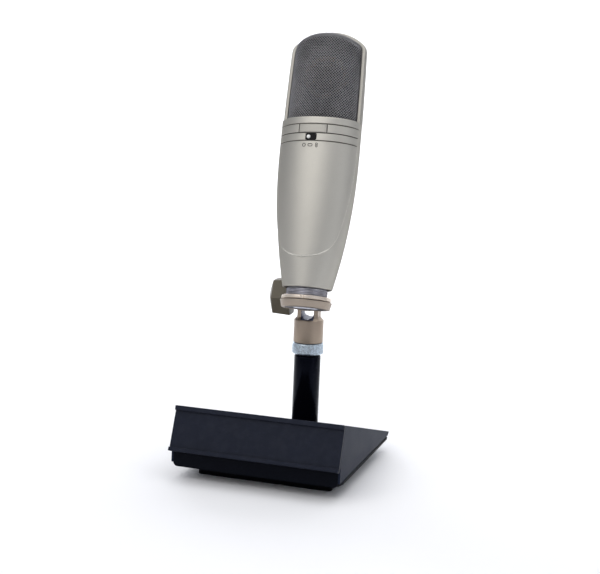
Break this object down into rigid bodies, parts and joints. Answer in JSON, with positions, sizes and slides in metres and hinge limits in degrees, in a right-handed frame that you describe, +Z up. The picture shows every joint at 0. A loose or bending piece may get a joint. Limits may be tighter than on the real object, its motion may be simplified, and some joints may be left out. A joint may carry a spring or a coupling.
{
  "type": "desktop microphone on stand",
  "caption": "Studio microphone on a desk stand: weighted wedge base with a card rail, short post, tilting swivel and threaded ring mount.",
  "frame": {"origin": "on the resting face under the base, on the centre line, midway between the base's front and back edges", "axes": "+Z up, -Y towards the front panel, +X to the right as seen from the front"},
  "size_m": [0.12, 0.1466, 0.3137],
  "materials": {
    "panel_paint": "satin black paint",
    "cover_paint": "satin black paint",
    "cap_paint": "satin black paint",
    "tray_paint": "satin black paint",
    "ballast_steel": "matte black paint on steel",
    "pad_rubber": "matte",
    "screw_steel": "zinc plated",
    "post_paint": "gloss black",
    "grommet_rubber": "matte",
    "stud_steel": "threaded",
    "ring_zinc": "bright zinc, fluted",
    "fork_tan": "tan lacquer on die casting",
    "bolt_steel": "bright",
    "washer_fibre": "fibre",
    "knob_plastic": "tan, fine grain",
    "insert_brass": "machined",
    "bracket_tan": "tan lacquer on die casting",
    "nut_tan": "tan lacquer on die casting",
    "neck_steel": "threaded",
    "body_champagne": "champagne metallic, satin",
    "shield_champagne": "champagne metallic, satin",
    "label_metal": "blank, brushed",
    "window_black": "gloss",
    "switch_white": "satin",
    "switch_plastic": "matte",
    "mark_ink": "printed",
    "rail_champagne": "champagne metallic, satin",
    "grille_steel": "dark woven wire",
    "screen_mesh": "fine mesh",
    "capsule_plastic": "moulded",
    "capsule_brass": "machined",
    "film_gold": "gold coated",
    "board_green": "lacquered board",
    "board_components": "moulded parts"
  },
  "bodies": {
    "base": {"front_panel": "panel_paint", "top_cover": "cover_paint", "base_tray": "tray_paint", "ballast_plate": "ballast_steel", "foot_pad": "pad_rubber", "plate_screws": "screw_steel", "cap_screws": "screw_steel", "post": "post_paint", "post_flange": "screw_steel", "post_plug": "screw_steel", "post_bolt": "screw_steel", "post_washer": "screw_steel", "post_grommet": "grommet_rubber", "thread_stud": "stud_steel", "end_cap_left": "cap_paint", "end_cap_right": "cap_paint"},
    "lock_ring": {"lock_ring": "ring_zinc"},
    "fork": {"swivel_fork": "fork_tan", "pivot_bolt": "bolt_steel", "friction_washers": "washer_fibre", "thrust_washer": "bolt_steel"},
    "knob": {"clamp_knob": "knob_plastic", "knob_insert": "insert_brass"},
    "bracket": {"ring_bracket": "bracket_tan"},
    "retaining_nut": {"retaining_nut": "nut_tan"},
    "pattern_switch": {"switch_knob": "switch_white"},
    "microphone": {"board_brackets": "screw_steel", "board_parts": "board_components", "body_screws": "screw_steel", "bottom_plate": "neck_steel", "capsule_body": "capsule_brass", "capsule_post": "capsule_plastic", "capsule_ring_front": "capsule_brass", "capsule_ring_rear": "capsule_brass", "circuit_board": "board_green", "connector_insert": "switch_plastic", "connector_pins": "film_gold", "deck": "switch_plastic", "diaphragm_front": "film_gold", "diaphragm_rear": "film_gold", "front_grille": "grille_steel", "front_shield": "shield_champagne", "head_frame": "rail_champagne", "inner_screen": "screen_mesh", "label_plate": "label_metal", "mic_body": "body_champagne", "mic_neck": "neck_steel", "pattern_marks": "mark_ink", "rear_grille": "grille_steel", "switch_block": "switch_plastic", "switch_window": "window_black"}
  },
  "joints": [
    {"name": "head_pan", "type": "hinge", "parent": "base", "child": "fork", "pos_m": [0, 0.0448, 0.09], "axis": [0, 0, 1], "range_deg": [-180, 180]},
    {"name": "lock_ring_turn", "type": "hinge", "parent": "base", "child": "lock_ring", "pos_m": [0, 0.0448, 0.078], "axis": [0, 0, 1], "continuous": true},
    {"name": "clamp_knob_turn", "type": "hinge", "parent": "fork", "child": "knob", "pos_m": [0, 0.0448, 0.117], "axis": [0.9934, 0.1149, 0], "continuous": true},
    {"name": "head_tilt", "type": "hinge", "parent": "fork", "child": "bracket", "pos_m": [0, 0.0448, 0.117], "axis": [0.9934, 0.1149, 0], "range_deg": [-45, 25]},
    {"name": "mic_twist", "type": "hinge", "parent": "bracket", "child": "microphone", "pos_m": [0.00707, 0.01237, 0.11621], "axis": [-0.0155, 0.2247, 0.9743], "range_deg": [-180, 180]},
    {"name": "retaining_nut_turn", "type": "hinge", "parent": "microphone", "child": "retaining_nut", "pos_m": [0.00707, 0.01237, 0.11621], "axis": [-0.0155, 0.2247, 0.9743], "continuous": true},
    {"name": "pattern_switch_slide", "type": "slide", "parent": "microphone", "child": "pattern_switch", "axis": [0.9997, -0.0164, 0.0196], "range_m": [0, 0.0038]}
  ]
}
